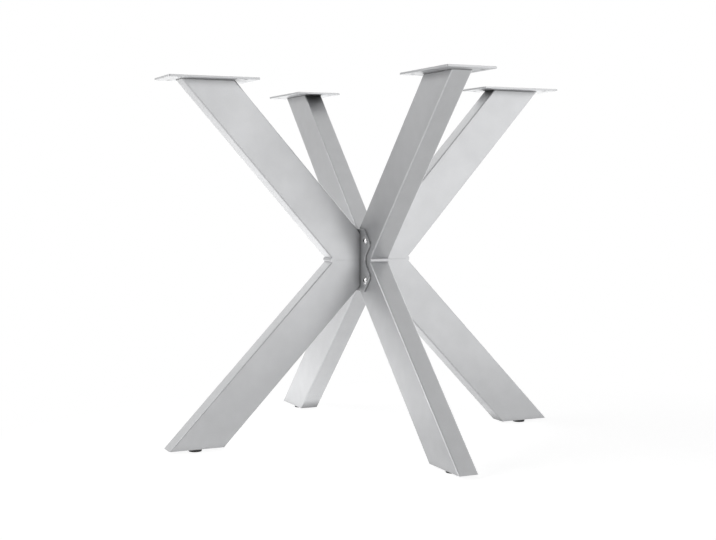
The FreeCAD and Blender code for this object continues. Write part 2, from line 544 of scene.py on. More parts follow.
@dataclass(frozen=True)
class Bead:
    """The section and the ripple of a weld bead.

    Each cap step holds how far a closed end narrows and how long it is, in radii.
    """

    radius: float
    pitch: float
    swell: float
    lean: float = 1 / 6
    merge_share: float = 1 / 20
    facets: int = 10
    corner_segments: int = 6
    cap_steps: tuple[tuple[float, float], ...] = ((0.90, 0.30), (0.62, 0.22))

    def open_row(self, name: str, length: float) -> bpy.types.Object:
        """Models an open rippled rod along X, from zero to a length.

        Args:
            name: The name of the rod.
            length: Its whole length.

        Returns:
            The rod, open at both ends.
        """
        count = max(round(length / self.pitch), 1)
        pitch = length / count
        middle = pitch / 2
        ripple = primitive(name, bpy.ops.mesh.primitive_cylinder_add, vertices=self.facets,
                           radius=self.radius, depth=pitch, end_fill_type="NOTHING")
        place(ripple, turn=(0, math.pi / 2, 0), move=(middle, 0, 0))
        with editing(ripple):
            pick(ripple, Element.EDGE,
                 lambda edge: abs(edge.verts[0].co.x - edge.verts[1].co.x) > NEAR)
            bpy.ops.mesh.subdivide(number_cuts=1)
            pick(ripple, Element.VERT, lambda vert: abs(vert.co.x - middle) < NEAR)
            bpy.ops.transform.resize(value=(1, self.swell, self.swell),
                                     center_override=(middle, 0, 0))
            bpy.ops.transform.translate(value=(self.lean * pitch, 0, 0))
        finish_with(ripple, "ARRAY", count=count, relative_offset_displace=(1, 0, 0),
                    use_merge_vertices=True, merge_threshold=self.merge_share * pitch)
        return ripple

    def capped_row(self, name: str, length: float) -> bpy.types.Object:
        """Models a rippled rod along X, round the origin, with closed ends.

        Args:
            name: The name of the rod.
            length: Its whole length.

        Returns:
            The rod, closed at both ends.
        """
        cap = sum(step for _, step in self.cap_steps) * self.radius
        half = length / 2 - cap
        row = self.open_row(name, 2 * half)
        place(row, move=(-half, 0, 0))
        with editing(row):
            for side in (-1, 1):
                pick(row, Element.EDGE, lambda edge: edge.is_boundary and
                     edge.verts[0].co.x * side > half - ROUGHLY)
                reach = half
                for ratio, step in self.cap_steps:
                    reach += step * self.radius
                    bpy.ops.mesh.extrude_region_move(TRANSFORM_OT_translate={
                        "value": (side * step * self.radius, 0, 0)})
                    bpy.ops.transform.resize(value=(1, ratio, ratio),
                                             center_override=(side * reach, 0, 0))
                bpy.ops.mesh.edge_face_add()
        tidy_mesh(row)
        return row

    def ring(self, name: str, length: float, width: float, corner: float) -> bpy.types.Object:
        """Models a bead round a rounded rectangle in the XY plane, round the origin.

        Args:
            name: The name of the bead.
            length: The rectangle's length along X.
            width: Its width along Y.
            corner: The radius of its corners.

        Returns:
            The closed bead.
        """
        path = primitive("path", bpy.ops.mesh.primitive_plane_add, size=1)
        place(path, scale=(length, width, 1))
        with editing(path):
            bpy.ops.mesh.select_all(action="SELECT")
            bpy.ops.mesh.bevel(offset=corner, segments=self.corner_segments, affect="VERTICES")
            bpy.ops.mesh.delete(type="ONLY_FACE")
            around = sum(edge.calc_length() for edge in bmesh.from_edit_mesh(path.data).edges)
        only(path)
        bpy.ops.object.convert(target="CURVE")
        path = bpy.context.object
        path.data.dimensions = "2D"
        bead = self.open_row(name, around)
        finish_with(bead, "CURVE", object=path, deform_axis="POS_X")
        bpy.data.objects.remove(path)
        tidy_mesh(bead, self.merge_share * self.pitch)
        return bead


@dataclass
class WeldBeads:
    """Weld beads round the tube ends and in the corners where tubes meet."""

    sizes: BaseSizes
    root: Bead = Bead(radius=1.0 * MM, pitch=1.7 * MM, swell=1.14)
    root_inset: float = 1.1 * MM
    root_corner: float = 2.1 * MM
    fillet: Bead = Bead(radius=6.5 * MM, pitch=2.3 * MM, swell=1.02, facets=40, cap_steps=())
    fillet_throat: float = 5.5 * MM
    fillet_seat: float = 2.9 * MM
    fillet_less: float = 0.1 * MM
    shade_angle: float = 50.0

    def plate_ring(self, leg: Leg) -> bpy.types.Object:
        """Models the bead between a leg's upper tube and its top plate.

        Args:
            leg: The leg.

        Returns:
            The finished bead in place.
        """
        half_length = self.sizes.tube_width / 2 / math.sin(self.sizes.slope(leg, Level.UPPER))
        bead = self._tube_ring(f"{leg.title}_plate_weld", 2 * half_length)
        place(bead, move=(self.sizes.top_reach - half_length, 0,
                          self.sizes.plate_underside - self.root.radius / 2))
        return self._turned_to(leg, bead)

    def flange_ring(self, leg: Leg) -> bpy.types.Object:
        """Models the bead between the tubes of a bolted-on leg and its flange.

        Args:
            leg: The right or the left leg.

        Returns:
            The finished bead in place.
        """
        rise, drop = (self.sizes.half_height(leg, level) for level in Level)
        bead = self._tube_ring(f"{leg.title}_flange_weld", rise + drop)
        place(bead, turn=(0, -math.pi / 2, 0),
              move=(self.sizes.flange_face + self.root.radius / 2, 0,
                    self.sizes.elbow_height + (rise - drop) / 2))
        return self._turned_to(leg, bead)

    def elbow_fillet(self, leg: Leg) -> bpy.types.Object:
        """Models the bead in the hollow corner between the two tubes of a leg.

        Args:
            leg: The leg.

        Returns:
            The finished bead in place.
        """
        upper, lower = (self.sizes.slope(leg, level) for level in Level)
        mitre = self.sizes.mitre(leg)
        out = self.sizes.tube_width / 2 / math.sin(upper - mitre)
        corner = self.sizes.elbow(leg) + out * Vector((math.cos(mitre), 0, math.sin(mitre)))
        faces = (Vector((math.sin(upper), 0, -math.cos(upper))),
                 Vector((math.sin(lower), 0, math.cos(lower))))
        return self._turned_to(leg, self._corner_bead(f"{leg.title}_elbow_weld", corner, faces))

    def notch_fillet(self, level: Level) -> bpy.types.Object:
        """Models the bead across the top or the bottom notch of the full cross.

        Args:
            level: The upper or the lower notch.

        Returns:
            The finished bead in place.
        """
        slope = self.sizes.slope(Leg.FRONT, level)
        rise = self.sizes.half_height(Leg.FRONT, level)
        corner = Vector((0, 0, self.sizes.elbow_height + level.value * rise))
        faces = [Vector((side * math.sin(slope), 0, level.value * math.cos(slope)))
                 for side in (-1, 1)]
        bead = self._corner_bead(f"cross_{level.title}_weld", corner, faces)
        return self._turned_to(Leg.FRONT, bead)

    def _tube_ring(self, name: str, length: float) -> bpy.types.Object:
        """Models a root bead just inside a tube end of the given length."""
        less = 2 * self.root_inset
        return self.root.ring(name, length - less, self.sizes.tube_depth - less, self.root_corner)

    def _turned_to(self, leg: Leg, bead: bpy.types.Object) -> bpy.types.Object:
        """Turns a finished bead to its leg and shades it.

        Args:
            leg: The leg.
            bead: The bead in the leg's own frame.

        Returns:
            The bead in place.
        """
        place(bead, turn=(0, 0, leg.turn))
        smooth(bead, self.shade_angle)
        return bead

    def _corner_bead(self, name: str, corner: Vector, faces: Sequence[Vector]) -> bpy.types.Object:
        """Models a bead across a hollow corner, cut where it meets the two tubes.

        Args:
            name: The name of the bead.
            corner: The middle of the corner line, which runs along Y.
            faces: The outward normals of the two tube faces.

        Returns:
            The bead in the leg's own frame.
        """
        bead = self.fillet.capped_row(name, self.sizes.tube_depth - self.fillet_less)
        outwards = (faces[0] + faces[1]).normalized()
        middle = corner + outwards * (self.fillet_throat - self.fillet.radius)
        place(bead, turn=(0, 0, math.pi / 2), move=middle)
        with editing(bead):
            for normal in faces:
                bpy.ops.mesh.select_all(action="SELECT")
                bpy.ops.mesh.bisect(plane_co=corner - normal * self.fillet_seat, plane_no=-normal,
                                    clear_outer=True, use_fill=True, threshold=CUT_WITHIN)
        tidy_mesh(bead)
        return bead


# Threads, screws and feet


@dataclass(frozen=True)
class Thread:
    """A coarse metric thread, in metres."""

    diameter: float = 8 * MM
    pitch: float = 1.25 * MM
    depth: float = 0.72 * MM
    crest: float = 0.18 * MM
    facets: int = 28
    spare_turns: int = 2
    end_chamfer: float = 0.8 * MM
    blank_allowance: float = 0.004 * MM

    def rod(self, name: str, low: float, high: float) -> bpy.types.Object:
        """Models a threaded rod round Z with chamfered ends.

        Args:
            name: The name of the rod.
            low: Height of its lower end.
            high: Height of its upper end.

        Returns:
            The rod, closed at both ends.
        """
        rod = self._helix(name, low, high)
        narrow = self.diameter / 2 - self.end_chamfer
        wide = self.diameter / 2 + self.blank_allowance
        blank = turned("blank", ((narrow, low), (wide, low + self.end_chamfer),
                                 (wide, high - self.end_chamfer), (narrow, high)),
                       2 * self.facets)
        finish_with(rod, "BOOLEAN", operation="INTERSECT", object=blank, solver="EXACT")
        bpy.data.objects.remove(blank)
        smooth(rod)
        return rod

    def _helix(self, name: str, low: float, high: float) -> bpy.types.Object:
        """Models the thread past both ends and cuts it there.

        Args:
            name: The name of the rod.
            low: Height of its lower end.
            high: Height of its upper end.

        Returns:
            The threaded rod with plain flat ends.
        """
        root, top = self.diameter / 2 - self.depth, self.diameter / 2
        flank = (self.pitch - 2 * self.crest) / 2
        steps = ((top - root, flank), (0, self.crest), (root - top, flank), (0, self.crest))
        rod = primitive(name, bpy.ops.mesh.primitive_plane_add, size=self.pitch)
        with editing(rod):
            bpy.ops.mesh.select_all(action="SELECT")
            bpy.ops.mesh.merge(type="CENTER")
            bpy.ops.transform.translate(value=(root, 0, low - self.spare_turns * self.pitch))
            for outwards, upwards in steps:
                bpy.ops.mesh.extrude_region_move(
                    TRANSFORM_OT_translate={"value": (outwards, 0, upwards)})
        turns = math.ceil((high - low) / self.pitch) + 2 * self.spare_turns
        finish_with(rod, "SCREW", angle=2 * math.pi, steps=self.facets, render_steps=self.facets,
                    screw_offset=self.pitch, iterations=turns, use_merge_vertices=True,
                    merge_threshold=NEAR)
        with editing(rod):
            for height, upwards in ((low, -1), (high, 1)):
                bpy.ops.mesh.select_all(action="SELECT")
                bpy.ops.mesh.bisect(plane_co=(0, 0, height), plane_no=(0, 0, upwards),
                                    clear_outer=True, use_fill=True, threshold=CUT_WITHIN)
        tidy_mesh(rod)
        return rod


@dataclass
class JointScrews:
    """The flanged button-head screws that hold the flanges."""

    sizes: BaseSizes
    thread: Thread = Thread()
    spacing_across: float = 91 * MM
    spacing_up: float = 80 * MM
    length: float = 16 * MM
    rim_diameter: float = 17.8 * MM
    rim_thickness: float = 1.4 * MM
    rim_round: float = 0.45 * MM
    rim_steps: int = 4
    dome_diameter: float = 14 * MM
    head_height: float = 4.4 * MM
    crown_end: float = 89.0
    crown_steps: int = 10
    socket_flats: float = 5 * MM
    socket_depth: float = 2.7 * MM
    socket_lead: float = 0.3 * MM
    socket_point: float = 1 / 3
    facets: int = 56
    first_turn: float = 17.0
    next_turn: float = 23.0

    def build(self, leg: Leg) -> bpy.types.Object:
        """Models the four screws of one flange.

        Args:
            leg: The right or the left leg.

        Returns:
            The four screws as one piece.
        """
        pattern = self._screw()
        screws = []
        for across in (-1, 1):
            for up in (-1, 1):
                screw = copied(pattern, "screw")
                in_hole = math.radians(self.first_turn + self.next_turn * len(screws))
                place(screw, turn=(0, 0, in_hole))
                place(screw, turn=(0, math.pi / 2, 0),
                      move=(self.sizes.flange_face, across * self.spacing_across / 2,
                            self.sizes.elbow_height + up * self.spacing_up / 2))
                screws.append(screw)
        bpy.data.objects.remove(pattern)
        group = joined(f"{leg.title}_button_head_screws", screws)
        place(group, turn=(0, 0, leg.turn))
        return group

    def _crown(self) -> list[tuple[float, float]]:
        """Profile of the domed crown, from its foot to the middle of the head.

        Returns:
            (radius, height) pairs.
        """
        rise = self.head_height - self.rim_thickness
        half = self.dome_diameter / 2
        radius = (half ** 2 + rise ** 2) / (2 * rise)
        centre = (0.0, self.head_height - radius)
        foot = math.degrees(math.asin((self.rim_thickness - centre[1]) / radius))
        return arc_points(centre, radius, foot, self.crown_end, self.crown_steps)

    def _screw(self) -> bpy.types.Object:
        """Models one screw that points down, with the seat of its head at height zero.

        Returns:
            The screw.
        """
        middle = self.rim_diameter / 2 - self.rim_round
        low = arc_points((middle, self.rim_round), self.rim_round, -90, 0, self.rim_steps)
        high = arc_points((middle, self.rim_thickness - self.rim_round), self.rim_round, 0, 90,
                          self.rim_steps)
        head = turned("head", low + high + self._crown(), self.facets)
        socket = primitive("socket", bpy.ops.mesh.primitive_cylinder_add, vertices=6,
                           radius=self.socket_flats / math.sqrt(3), depth=2 * self.socket_depth,
                           location=(0, 0, self.head_height))
        with editing(socket):
            pick(socket, Element.FACE, lambda face: face.normal.z < NEAR - 1)
            bpy.ops.mesh.inset(thickness=self.socket_point * self.socket_flats)
            bpy.ops.transform.translate(value=(0, 0, -self.socket_lead))
        finish_with(head, "BOOLEAN", operation="DIFFERENCE", object=socket, solver="EXACT")
        bpy.data.objects.remove(socket)
        smooth(head)
        shank = self.thread.rod("shank", -self.length, self.rim_thickness / 2)
        return joined("screw", [head, shank])


@dataclass
class LevellingFeet:
    """The threaded studs and moulded pads under the legs."""

    thread: Thread = Thread()
    foot_round: float = 0.9 * MM
    foot_steps: int = 5
    shoulder_round: float = 1.5 * MM
    shoulder_steps: int = 6
    seat_clearance: float = 0.02 * MM
    mouth_chamfer: float = 0.3 * MM
    pad_floor: float = 2 * MM
    facets: int = 72

    def stud(self, leg: Leg) -> bpy.types.Object:
        """Models the stud of one foot.

        Args:
            leg: The leg.

        Returns:
            The stud in place.
        """
        low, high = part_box(f"{leg.title}_foot_stud")
        stud = self.thread.rod(f"{leg.title}_threaded_stud", low.z, high.z)
        place(stud, move=((low.x + high.x) / 2, (low.y + high.y) / 2, 0))
        return stud

    def pad(self, leg: Leg) -> bpy.types.Object:
        """Models the pad of one foot, with a blind hole for its stud.

        Args:
            leg: The leg.

        Returns:
            The pad in place.
        """
        low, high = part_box(f"{leg.title}_foot_pad")
        rim, height = (high.x - low.x) / 2, high.z - low.z
        bore = self.thread.diameter / 2 + self.seat_clearance
        foot = arc_points((rim - self.foot_round, self.foot_round), self.foot_round, -90, 0,
                          self.foot_steps)
        shoulder = arc_points((rim - self.shoulder_round, height - self.shoulder_round),
                              self.shoulder_round, 0, 90, self.shoulder_steps)
        mouth = [(bore + self.mouth_chamfer, height), (bore, height - self.mouth_chamfer),
                 (bore, self.pad_floor)]
        pad = turned(f"{leg.title}_moulded_pad", foot + shoulder + mouth, self.facets)
        place(pad, move=((low.x + high.x) / 2, (low.y + high.y) / 2, low.z))
        smooth(pad)
        return pad


# Surface effects


class Sheet:
    """A node tree that is filled by short calls."""

    def __init__(self, tree: bpy.types.NodeTree) -> None:
        """Starts on a tree that is already there."""
        self.tree = tree

    def add(self, kind: str, inputs: dict[str | int, object] | None = None,
            **settings: object) -> bpy.types.Node:
        """Adds a node.

        Args:
            kind: The node's type, without the words ShaderNode.
            inputs: Values or sockets for the node's inputs.
            settings: Values of the node's own properties.

        Returns:
            The new node.
        """
        node = self.tree.nodes.new(f"ShaderNode{kind}")
        for key, value in settings.items():
            setattr(node, key, value)
        self.feed(node, inputs or {})
        return node

    def feed(self, node: bpy.types.Node, inputs: dict[str | int, object]) -> None:
        """Links sockets to a node's inputs, or sets them to plain values.

        Args:
            node: The node.
            inputs: Values or sockets for its inputs.
        """
        for key, value in inputs.items():
            if isinstance(value, bpy.types.NodeSocket):
                self.tree.links.new(value, node.inputs[key])
            else:
                node.inputs[key].default_value = value

    def math(self, operation: str, *values: float | bpy.types.NodeSocket) -> bpy.types.NodeSocket:
        """Adds a Math node and returns its result."""
        return self.add("Math", dict(enumerate(values)), operation=operation).outputs[0]

    def ramp(self, value: bpy.types.NodeSocket, low: float, high: float,
             new_low: float | bpy.types.NodeSocket,
             new_high: float | bpy.types.NodeSocket) -> bpy.types.NodeSocket:
        """Adds a Map Range node that maps low to new_low and high to new_high."""
        inputs = {"Value": value, "From Min": low, "From Max": high, "To Min": new_low,
                  "To Max": new_high}
        return self.add("MapRange", inputs).outputs["Result"]


FLOAT, VECTOR = "NodeSocketFloat", "NodeSocketVector"
Fill = Callable[[Sheet, bpy.types.Node, bpy.types.Node], None]


def effect_group(name: str, inputs: dict[str, tuple[str, object]], outputs: dict[str, str],
                 fill: Fill) -> bpy.types.NodeTree:
    """Makes a shader node group, once.

    Args:
        name: The group's name.
        inputs: For each input its socket type and its default value.
        outputs: For each output its socket type.
        fill: Adds the nodes between the group's input and output nodes.

    Returns:
        The group.
    """
    if name in bpy.data.node_groups:
        return bpy.data.node_groups[name]
    group = bpy.data.node_groups.new(name, "ShaderNodeTree")
    for label, (kind, default) in inputs.items():
        socket = group.interface.new_socket(label, in_out="INPUT", socket_type=kind)
        if default is not None:
            socket.default_value = default
    for label, kind in outputs.items():
        group.interface.new_socket(label, in_out="OUTPUT", socket_type=kind)
    fill(Sheet(group), group.nodes.new("NodeGroupInput"), group.nodes.new("NodeGroupOutput"))
    return group


def grain_group() -> bpy.types.NodeTree:
    """Fine metal grain: a shade near one and a height, from noise of one scale.

    Returns:
        The group.
    """

    def fill(sheet: Sheet, start: bpy.types.Node, end: bpy.types.Node) -> None:
        """Adds noise, a shade from its spread, and its height.

        Args:
            sheet: The group's node tree.
            start: The node with the group's inputs.
            end: The node with its outputs.
        """
        noise = sheet.add("TexNoise", {"Vector": start.outputs["Vector"],
                                       "Scale": start.outputs["Scale"], "Detail": 3.0,
                                       "Roughness": 0.6})
        spread = sheet.math("SUBTRACT", noise.outputs[0], 0.5)
        shade = sheet.math("MULTIPLY_ADD", spread, start.outputs["Contrast"], 1.0)
        sheet.feed(end, {"Shade": shade, "Height": noise.outputs[0]})

    return effect_group("metal_grain", {"Vector": (VECTOR, None), "Scale": (FLOAT, 900.0),
                                        "Contrast": (FLOAT, 0.1)},
                        {"Shade": FLOAT, "Height": FLOAT}, fill)


def mottle_group() -> bpy.types.NodeTree:
    """Slow variation over a surface, from Low to High.

    Returns:
        The group.
    """

    def fill(sheet: Sheet, start: bpy.types.Node, end: bpy.types.Node) -> None:
        """Adds soft noise, mapped from Low to High.

        Args:
            sheet: The group's node tree.
            start: The node with the group's inputs.
            end: The node with its outputs.
        """
        noise = sheet.add("TexNoise", {"Vector": start.outputs["Vector"],
                                       "Scale": start.outputs["Scale"], "Detail": 2.0})
        calm, busy = 0.3, 0.7
        value = sheet.ramp(noise.outputs[0], calm, busy, start.outputs["Low"],
                           start.outputs["High"])
        sheet.feed(end, {"Value": value})

    return effect_group("mottle", {"Vector": (VECTOR, None), "Scale": (FLOAT, 12.0),
                                   "Low": (FLOAT, 0.0), "High": (FLOAT, 1.0)},
                        {"Value": FLOAT}, fill)


def edge_group() -> bpy.types.NodeTree:
    """Mask of the sharp edges, where the colour is painted lighter as a highlight.

    Returns:
        The group.
    """

    def fill(sheet: Sheet, start: bpy.types.Node, end: bpy.types.Node) -> None:
        """Compares a bevelled normal with the plain one, and breaks the mask with noise.

        Args:
            sheet: The group's node tree.
            start: The node with the group's inputs.
            end: The node with its outputs.
        """
        bevel = sheet.add("Bevel", {"Radius": start.outputs["Width"]}, samples=4)
        plain = sheet.add("NewGeometry")
        alike = sheet.add("VectorMath", {0: bevel.outputs[0], 1: plain.outputs["Normal"]},
                          operation="DOT_PRODUCT")
        flat, full_highlight = 0.999, 0.93
        mask = sheet.ramp(alike.outputs["Value"], flat, full_highlight, 0.0, 1.0)
        noise = sheet.add("TexNoise", {"Vector": start.outputs["Vector"], "Scale": 160.0,
                                       "Detail": 3.0})
        calm, busy, least = 0.35, 0.6, 0.45
        broken = sheet.ramp(noise.outputs[0], calm, busy, least, 1.0)
        sheet.feed(end, {"Mask": sheet.math("MULTIPLY", mask, broken)})

    return effect_group("rubbed_edge", {"Vector": (VECTOR, None), "Width": (FLOAT, 1.2 * MM)},
                        {"Mask": FLOAT}, fill)


def corner_group() -> bpy.types.NodeTree:
    """Painted shade near one that falls to Low deep in corners, where less light reaches.

    Returns:
        The group.
    """

    def fill(sheet: Sheet, start: bpy.types.Node, end: bpy.types.Node) -> None:
        """Maps how open the surface is round a point to a painted shade.

        Args:
            sheet: The group's node tree.
            start: The node with the group's inputs.
            end: The node with its outputs.
        """
        openness = sheet.add("AmbientOcclusion", {"Distance": start.outputs["Reach"]}, samples=8)
        deep, open_enough = 0.1, 0.7
        shade = sheet.ramp(openness.outputs["AO"], deep, open_enough, start.outputs["Low"], 1.0)
        sheet.feed(end, {"Shade": shade})

    return effect_group("corner_shade", {"Reach": (FLOAT, 36 * MM), "Low": (FLOAT, 0.2)},
                        {"Shade": FLOAT}, fill)


# Finishes


@dataclass(frozen=True)
class GrainedFinish:
    """A surface with grain, slow variation, painted highlights on its edges and painted shade in
    its corners.
    """

    name: str
    colour: tuple[float, float, float]
    metallic: float
    roughness: tuple[float, float]
    grain_scale: float
    grain_contrast: float
    relief: float
    edge_light: float = 1.05
    edge_width: float = 1.2 * MM
    corner_reach: float = 36 * MM
    corner_low: float = 0.2
    mottle_scale: float = 9.0
    cloud_scale: float = 38.0
    clouds: tuple[float, float] = (0.98, 1.02)

    def material(self) -> bpy.types.Material:
        """Makes the material.

        Returns:
            The material, made once.
        """
        if self.name in bpy.data.materials:
            return bpy.data.materials[self.name]
        material = bpy.data.materials.new(self.name)
        material.use_nodes = True
        sheet = Sheet(material.node_tree)
        on_piece = sheet.add("TexCoord").outputs["Object"]
        grain = sheet.add("Group", {"Vector": on_piece, "Scale": self.grain_scale,
                                    "Contrast": self.grain_contrast}, node_tree=grain_group())
        edge = sheet.add("Group", {"Vector": on_piece, "Width": self.edge_width},
                         node_tree=edge_group())
        # Painted shade: the colour darkens in corners and beside other parts, where less light
        # reaches.
        corner = sheet.add("Group", {"Reach": self.corner_reach, "Low": self.corner_low},
                           node_tree=corner_group())
        # Painted highlight: sharp edges are painted up to edge_light times lighter.
        lit_edge = sheet.ramp(edge.outputs["Mask"], 0, 1, 1.0, self.edge_light)
        shade = sheet.math("MULTIPLY", grain.outputs["Shade"], lit_edge)
        shade = sheet.math("MULTIPLY", shade, corner.outputs["Shade"])
        shade = sheet.math("MULTIPLY", shade,
                           self._mottle(sheet, on_piece, self.cloud_scale, self.clouds))
        base = sheet.add("VectorMath", {0: self.colour, "Scale": shade}, operation="SCALE")
        bump = sheet.add("Bump", {"Strength": 1.0, "Distance": self.relief,
                                  "Height": grain.outputs["Height"]})
        sheet.feed(material.node_tree.nodes["Principled BSDF"], {
            "Base Color": base.outputs["Vector"], "Metallic": self.metallic,
            "Roughness": self._mottle(sheet, on_piece, self.mottle_scale, self.roughness),
            "Normal": bump.outputs[0]})
        return material

    def _mottle(self, sheet: Sheet, on_piece: bpy.types.NodeSocket, scale: float,
                between: tuple[float, float]) -> bpy.types.NodeSocket:
        """Adds slow variation between two values.

        Args:
            sheet: The material's node tree.
            on_piece: The place on the piece.
            scale: How fine the variation is.
            between: The lowest and the highest value.

        Returns:
            The varying value.
        """
        low, high = between
        inputs = {"Vector": on_piece, "Scale": scale, "Low": low, "High": high}
        return sheet.add("Group", inputs, node_tree=mottle_group()).outputs["Value"]


class Finish(Enum):
    """The finishes of the base, each with the material slot it belongs to."""

    COATED_STEEL = GrainedFinish(
        "satin_silver_coat", (0.60, 0.605, 0.615), metallic=0.60, roughness=(0.34, 0.42),
        grain_scale=1400.0, grain_contrast=0.32, relief=0.035 * MM)
    PLATED_STEEL = GrainedFinish(
        "zinc_plate", (0.62, 0.63, 0.62), metallic=0.95, roughness=(0.24, 0.38),
        grain_scale=700.0, grain_contrast=0.14, relief=0.02 * MM)
    SCREW_STEEL = GrainedFinish(
        "bright_screw_steel", (0.72, 0.72, 0.72), metallic=1.0, roughness=(0.16, 0.26),
        grain_scale=900.0, grain_contrast=0.08, relief=0.01 * MM)
    # The dark plastic's edges carry a stronger painted highlight.
    FOOT_PLASTIC = GrainedFinish(
        "moulded_foot_plastic", (0.022, 0.022, 0.024), metallic=0.0, roughness=(0.42, 0.55),
        grain_scale=1800.0, grain_contrast=0.30, relief=0.02 * MM, edge_light=1.6)
    # The root beads share the coat, but their colour is painted much darker as shade for the dark
    # seams under the plates and beside the flanges.
    WELD_STEEL = GrainedFinish(
        "coated_weld", (0.30, 0.30, 0.305), metallic=0.6, roughness=(0.40, 0.50),
        grain_scale=1100.0, grain_contrast=0.20, relief=0.04 * MM)

    @property
    def slot(self) -> str:
        """The record's material slot."""
        return "coated_steel" if self is Finish.WELD_STEEL else self.name.lower()


def dress(piece: bpy.types.Object, finish: Finish) -> None:
    """Gives a piece one finish all over.

    Args:
        piece: A new piece or one of the frame's nodes.
        finish: The finish.
    """
    material = finish.value.material()
    if not piece.data.materials:
        piece.data.materials.append(material)
    for slot in piece.material_slots:
        slot.material = material


# The studio


@dataclass(frozen=True)
class SoftBox:
    """A large soft lamp."""

    name: str
    place: tuple[float, float, float]
    aim: tuple[float, float, float]
    size: tuple[float, float]
    power: float

    def build(self) -> None:
        """Adds the lamp, turned towards its aim."""
        lamp = bpy.data.lights.new(self.name, "AREA")
        lamp.shape = "RECTANGLE"
        lamp.size, lamp.size_y = self.size
        lamp.energy = self.power
        holder = bpy.data.objects.new(self.name, lamp)
        holder.location = self.place
        towards = Vector(self.aim) - Vector(self.place)
        holder.rotation_euler = towards.to_track_quat("-Z", "Y").to_euler()
        bpy.context.collection.objects.link(holder)


@dataclass(frozen=True)
class Glow:
    """A pale side of the room, as the metal mirrors it, and how narrow it is."""

    towards: tuple[float, float, float]
    strength: float
    narrowness: float = 2.0


